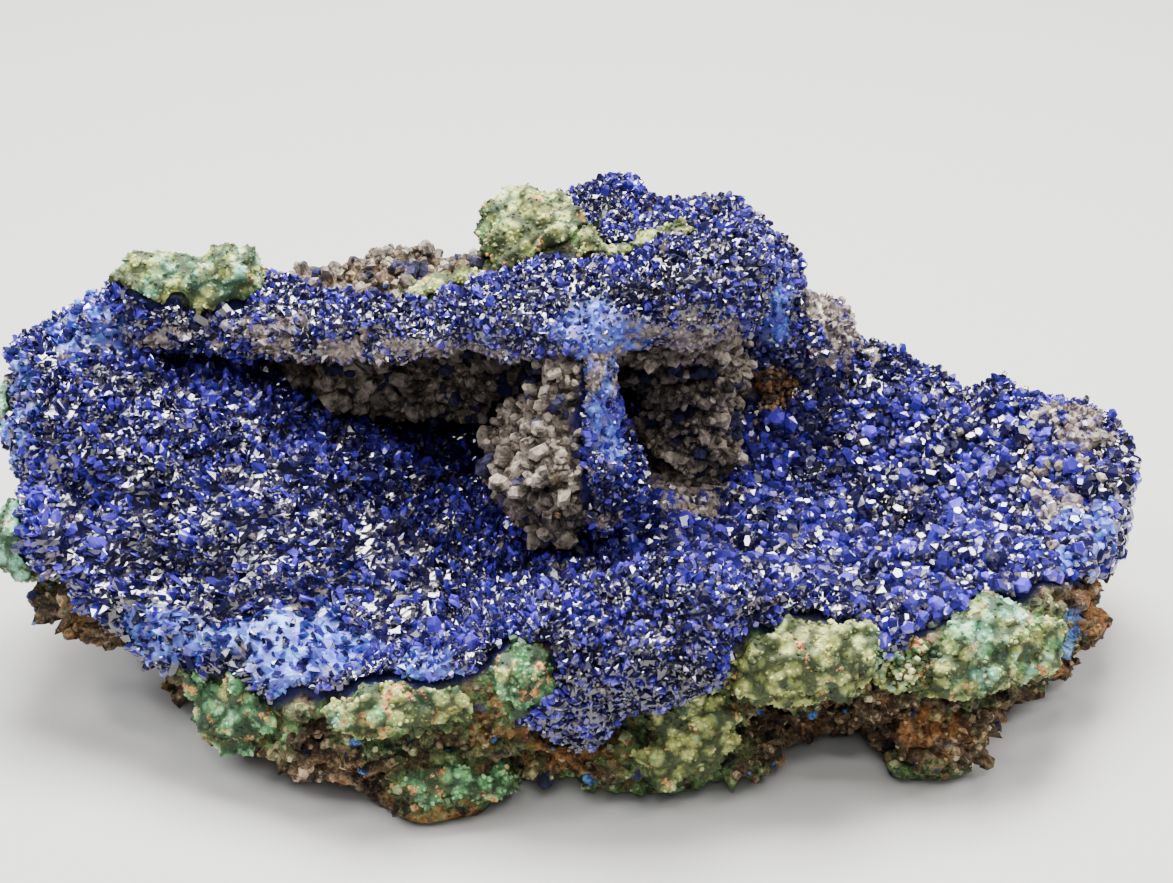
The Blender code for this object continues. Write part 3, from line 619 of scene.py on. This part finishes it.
outside = np.clip((offRock - 0.2) / 0.3, 0, 1)
points, facing = samplesOn(bed, outside, azurite["candidates"], 31)
kept = spaced(points, azurite["spacing"])
kept = kept[inPlaces(points[kept], seamPlaces + scarPlaces) < 0.5]
points, facing = points[kept], facing[kept]
left = np.ones(len(points), bool)
for number, (name, stretch) in enumerate(stretches.items()):
    centre, halves, height, width, depth, lean, leaning, shapes = stretch
    draw = np.random.default_rng(100 + number)
    reach = (((points / mm - np.array(centre)) / np.array(halves)) ** 2).sum(1)
    mine = np.flatnonzero(left & (reach < 1))
    left[mine] = False
    if shapes is blocks:
        mine = mine[spaced(points[mine], azurite["blockSpacing"])]
    if len(mine) < 10:
        continue
    count = len(mine)
    ups = facing[mine] * (1 - leaning) + np.array(lean) * leaning + draw.normal(size=(count, 3)) * azurite["scatter"]
    ups += facing[mine] * np.clip(0.25 - (ups * facing[mine]).sum(1), 0, None)[:, None]  # none points inwards
    growth = np.clip(draw.lognormal(0, 0.28, count), 0.55, 1.8)
    pale = inPlaces(points[mine], palePlaces)
    heights = height * growth * (1 - 0.35 * pale) * np.clip(0.65 + 0.6 * facing[mine, 2], 0.6, 1)  # shorter below the rims
    starts = points[mine] - facing[mine] * (heights * azurite["sunk"])[:, None] * mm
    pale *= draw.random(count) < 0.42
    tint = draw.beta(1.5, 1.9, count) + 0.25 * inPlaces(points[mine], vividPlaces)
    crystals = scattered(
        name, shapes, starts, ups, heights, width * growth, depth * growth, 200 + number,
        tint=tint, pale=pale, dusty=inPlaces(points[mine], dustyPlaces),
    )
    standFor(crystals, "azurite", azuriteFinish, "azurite_crust")
print("azurite grown")

# tan lumps on the crystals of the right basin
basinLumps = {"perPlace": 16, "spread": 1.5, "size": (0.5, 1.5)}
lumpCentres = [(48.1, 11.6, 19), (47.1, 5.6, 18.5), (39.7, 9.9, 16), (31.2, -4.6, 13.5), (36.2, -13.1, 15), (51.5, 3, 19.5)]
bedTree = treeOf(bed)
draw = np.random.default_rng(77)
starts, ups = [], []
for centre in lumpCentres:
    for _ in range(basinLumps["perPlace"]):
        aim = Vector(centre) * mm + Vector(draw.normal(size=3) * basinLumps["spread"] * mm)
        place, normal, _, _ = bedTree.find_nearest(aim)
        starts.append(place)
        ups.append(normal)
starts, ups = np.array(starts), np.array(ups)
smallest, largest = basinLumps["size"]
size = smallest + (largest - smallest) * draw.random(len(starts)) ** 2
tanLumps = scattered(
    "basinLumps", lumps + blocks, starts - ups * (0.2 * size)[:, None] * mm, ups, size, size, size, 78,
    tan=np.ones(len(starts)), tint=0.4 + 0.5 * draw.random(len(starts)),
)
standFor(tanLumps, "limonite_rock", rockFinish, "matrix")


# dull druse on the hollow's ceiling, the column and the pillar

druse = {"candidates": 30000, "spacing": 0.52, "height": 0.85, "width": 0.80, "beadGrowth": 0.5}
beadPlaces = [((-2, -4, 23.5), (8, 8, 5)), ((-22, 8, 29), (8, 8, 4))]
drusePlaces = [((-15, 13, 29), (28, 9, 11)), ((12, 9, 27), (8, 8, 13)), ((-1, -4, 28), (8, 8, 13)), ((10, 3, 35), (8, 6, 4))]
hollow = inPlaces(rockPlaces, drusePlaces) * (toBlue > 0.5)
points, facing = samplesOn(rockBody, hollow + 1e-9, druse["candidates"], 41)
kept = spaced(points, druse["spacing"])
points, facing = points[kept], facing[kept]
draw = np.random.default_rng(43)
count = len(points)
growth = np.clip(draw.lognormal(0, 0.42, count), 0.45, 2.2) * (1 + druse["beadGrowth"] * inPlaces(points, beadPlaces))
ups = facing + draw.normal(size=(count, 3)) * 0.4
bluish = np.array([noise.noise(Vector(point) / (2.4 * mm)) for point in points]) > 0.2
dullDruse = scattered(
    "dullDruse", blocks + lumps, points - facing * 0.25 * mm, ups, druse["height"] * growth,
    druse["width"] * growth, 0.8 * druse["width"] * growth, 44,
    tan=np.ones(count), tint=0.15 + 0.6 * draw.random(count), blue=np.where(bluish, 0.9, 0.0) * (draw.random(count) > 0.35),
)
standFor(dullDruse, "limonite_rock", rockFinish, "matrix")


# coarse grains on the open rock, green ones towards the malachite

grains = {"candidates": 46000, "spacing": 0.6, "most": 7800, "size": (0.5, 1.9), "backShare": 0.35}
openRock = bareness * (1 - np.clip(hollow * 3, 0, 1)) * (rockPlaces[:, 2] > 1.2 * mm)
openRock *= np.where(rockPlaces[:, 1] < -5 * mm, 1, grains["backShare"])
points, facing = samplesOn(rockBody, openRock + 1e-9, grains["candidates"], 51)
kept = spaced(points, grains["spacing"])[:grains["most"]]
points, facing = points[kept], facing[kept]
draw = np.random.default_rng(53)
count = len(points)
smallest, largest = grains["size"]
size = smallest + (largest - smallest) * draw.random(count) ** 4
ups = facing + draw.normal(size=(count, 3)) * 0.4
rockGrains = scattered(
    "rockGrains", lumps + blocks[2:], points - facing * (0.5 * size)[:, None] * mm, ups, 0.8 * size, size, 0.8 * size, 54,
    orange=inPlaces(points, orangePlaces) * (draw.random(count) < 0.7), tan=inPlaces(points, tanPlaces) * 0.8,
    tint=0.2 + 0.8 * draw.random(count),
    green=np.maximum(nearTo(points, greenTree, 4.5), inPlaces(points, mossPlaces)) * (draw.random(count) < 0.75),
    blue=(draw.random(count) > 0.96) * 0.9, sky=(draw.random(count) > 0.985) * 1.0,
)
standFor(rockGrains, "limonite_rock", rockFinish, "matrix")
print("rock dressed")


# malachite: each crust with finer lumps, and beads over it

malachite = {
    "grain": 0.34,
    "softening": 3,
    "relief": [("VORONOI", 2.6, -1.5), ("VORONOI", 1.2, -0.7), ("CLOUDS", 0.6, 0.5)],
    "beadSpacing": 0.42,
    "beadSize": (0.3, 0.75),
    "beadsPerNode": 1900,
}
yellowNodes = {
    "malachite_roof_band": 0.8, "malachite_roof_strip": 0.9, "malachite_front_slope": 0.8, "malachite_left_ledge": 0.45,
    "malachite_knob": 0.5, "malachite_roof_left": 0.45, "malachite_front_band": 0.75, "malachite_right_band": 0.45,
}
mintNodes = {
    "malachite_chip_high": 0.9, "malachite_chip_low": 0.9, "malachite_right_band": 0.3, "malachite_roof_left": 0.3,
}
rustNodes = {
    "malachite_patch": 1, "malachite_left_ledge": 1, "malachite_left_foot": 1, "malachite_front_slope": 0.6,
    "malachite_right_band": 0.7, "malachite_front_band": 0.5, "malachite_left_rim": 1,
}

for number, nodeName in enumerate(sorted(name for name in crustNodes if name.startswith("malachite"))):
    words = nodeName.split("_")
    name = words[0] + "".join(word.capitalize() for word in words[1:])
    crust = copyOfNode(nodeName, name)
    fuse(crust, malachite["grain"], malachite["softening"])
    for kind, size, strength in malachite["relief"]:
        roughen(crust, kind, size, strength)
    places = vertexPlaces(crust)
    draw = np.random.default_rng(300 + number)
    hue = {"yellow": yellowNodes.get(nodeName, 0), "mint": mintNodes.get(nodeName, 0), "rust": rustNodes.get(nodeName, 0.3)}
    # the crust's tint is held low, below the beads' tints, so that it shows dark in the gaps between the beads: painted
    # shade between them
    setAttribute(crust, "tint", np.full(len(places), 0.3))
    for attribute, value in hue.items():
        setAttribute(crust, attribute, np.full(len(places), value))
    crust.data.shade_smooth()
    standFor(crust, "malachite", malachiteFinish, nodeName)
    outer = np.clip((distances(places, solidRock, 4) - 0.6) / 0.3, 0, 1)
    points, facing = samplesOn(crust, outer + 1e-9, malachite["beadsPerNode"], 400 + number)
    kept = spaced(points, malachite["beadSpacing"])
    points, facing = points[kept], facing[kept]
    count = len(points)
    smallest, largest = malachite["beadSize"]
    size = smallest + (largest - smallest) * draw.random(count) ** 2
    ups = facing + draw.normal(size=(count, 3)) * 0.5
    beads = scattered(
        name + "Beads", lumps + blocks[2:], points - facing * (0.5 * size)[:, None] * mm, ups, size, size, 0.8 * size,
        500 + number, tint=0.35 + 0.65 * draw.random(count), **{key: np.full(count, value) for key, value in hue.items()},
    )
    standFor(beads, "malachite", malachiteFinish, nodeName)

# finer beads that close gaps between the malachite's bands, and grains on the lining's bare scars
coverings = [
    ("malachiteSeamOnLining", bed, seamPlaces, malachiteFinish, "malachite", "malachite_right_band"),
    ("malachiteSeamOnRock", rockBody, seamPlaces, malachiteFinish, "malachite", "malachite_front_band"),
    ("scarGrains", bed, scarPlaces, rockFinish, "limonite_rock", "matrix"),
]
for number, (name, source, places, finish, slotName, replaced) in enumerate(coverings):
    points, facing = samplesOn(source, inPlaces(vertexPlaces(source), places) + 1e-9, 5000, 92 + number)
    kept = spaced(points, 0.42)
    kept = kept[inPlaces(points[kept], places) > 0.1]
    points, facing = points[kept], facing[kept]
    draw = np.random.default_rng(95 + number)
    count = len(points)
    size = 0.4 + 0.7 * draw.random(count) ** 2
    grown = scattered(
        name, lumps + blocks[2:], points - facing * (0.3 * size)[:, None] * mm,
        facing + draw.normal(size=(count, 3)) * 0.4, size, size, size, 98 + number,
        tint=0.3 + 0.7 * draw.random(count), yellow=np.full(count, 0.5), mint=np.full(count, 0.2),
        rust=np.full(count, 1.0), orange=(draw.random(count) < 0.75) * 1.0,
    )
    standFor(grown, slotName, finish, replaced)
print("malachite grown")


# floor, light and camera

floorLook = {"size": 1.6, "colour": (0.42, 0.42, 0.42, 1), "roughness": 0.8}
deselectAll()
bpy.ops.mesh.primitive_plane_add(size=floorLook["size"], location=(0, 0, 0))
floor = bpy.context.object
floor.name = "floor"
floorFinish = bpy.data.materials.new("floorPaint")
floorFinish.use_nodes = True
floorFinish.node_tree.nodes["Principled BSDF"].inputs["Base Color"].default_value = floorLook["colour"]
floorFinish.node_tree.nodes["Principled BSDF"].inputs["Roughness"].default_value = floorLook["roughness"]
floor.data.materials.append(floorFinish)

world = bpy.data.worlds.new("studio")
world.use_nodes = True
world.node_tree.nodes["Background"].inputs["Color"].default_value = (0.94, 0.95, 1.0, 1)
world.node_tree.nodes["Background"].inputs["Strength"].default_value = 0.09
bpy.context.scene.world = world

# name: place in metres, size, watts, colour
lamps = {
    "overhead": ((0.0, 0.12, 0.46), 0.24, 10.0, (1.0, 0.98, 0.95)),
    "leftBox": ((-0.36, -0.06, 0.36), 0.14, 1.5, (0.98, 0.98, 1.0)),
    "rightBox": ((0.38, 0.0, 0.34), 0.14, 1.4, (1.0, 0.97, 0.93)),
    "front": ((0.0, -0.46, 0.42), 0.16, 0.8, (1.0, 1.0, 1.0)),
}
sparkle = {"count": 9, "height": 0.42, "reach": 0.26, "size": 0.04, "watts": 0.5}
for number in range(sparkle["count"]):  # small lamps round the specimen, for the glints on its crystals
    angle = math.radians(20 + number * 360 / sparkle["count"])
    place = (sparkle["reach"] * math.cos(angle), sparkle["reach"] * math.sin(angle), sparkle["height"])
    lamps["sparkle" + str(number)] = (place, sparkle["size"], sparkle["watts"], (1.0, 0.97, 0.92))
for name, (place, size, power, colour) in lamps.items():
    light = bpy.data.lights.new(name, "AREA")
    light.size = size
    light.energy = power
    light.color = colour
    lamp = bpy.data.objects.new(name, light)
    lamp.location = place
    lamp.rotation_euler = (Vector((0, 0, 0.02)) - Vector(place)).to_track_quat("-Z", "Y").to_euler()
    bpy.context.collection.objects.link(lamp)

view = {"target": (1.2, 3.75, 22.8), "elevation": 30, "distance": 225, "lens": 69.6}
tilt = math.radians(view["elevation"])
camera = bpy.data.objects.new("camera", bpy.data.cameras.new("camera"))
camera.data.sensor_width = 36
camera.data.lens = view["lens"]
camera.data.clip_start = 0.01
target = Vector(view["target"]) * mm
camera.location = target + Vector((0, -math.cos(tilt), math.sin(tilt))) * view["distance"] * mm
camera.rotation_euler = (math.pi / 2 - tilt, 0, 0)
bpy.context.collection.objects.link(camera)
bpy.context.scene.camera = camera
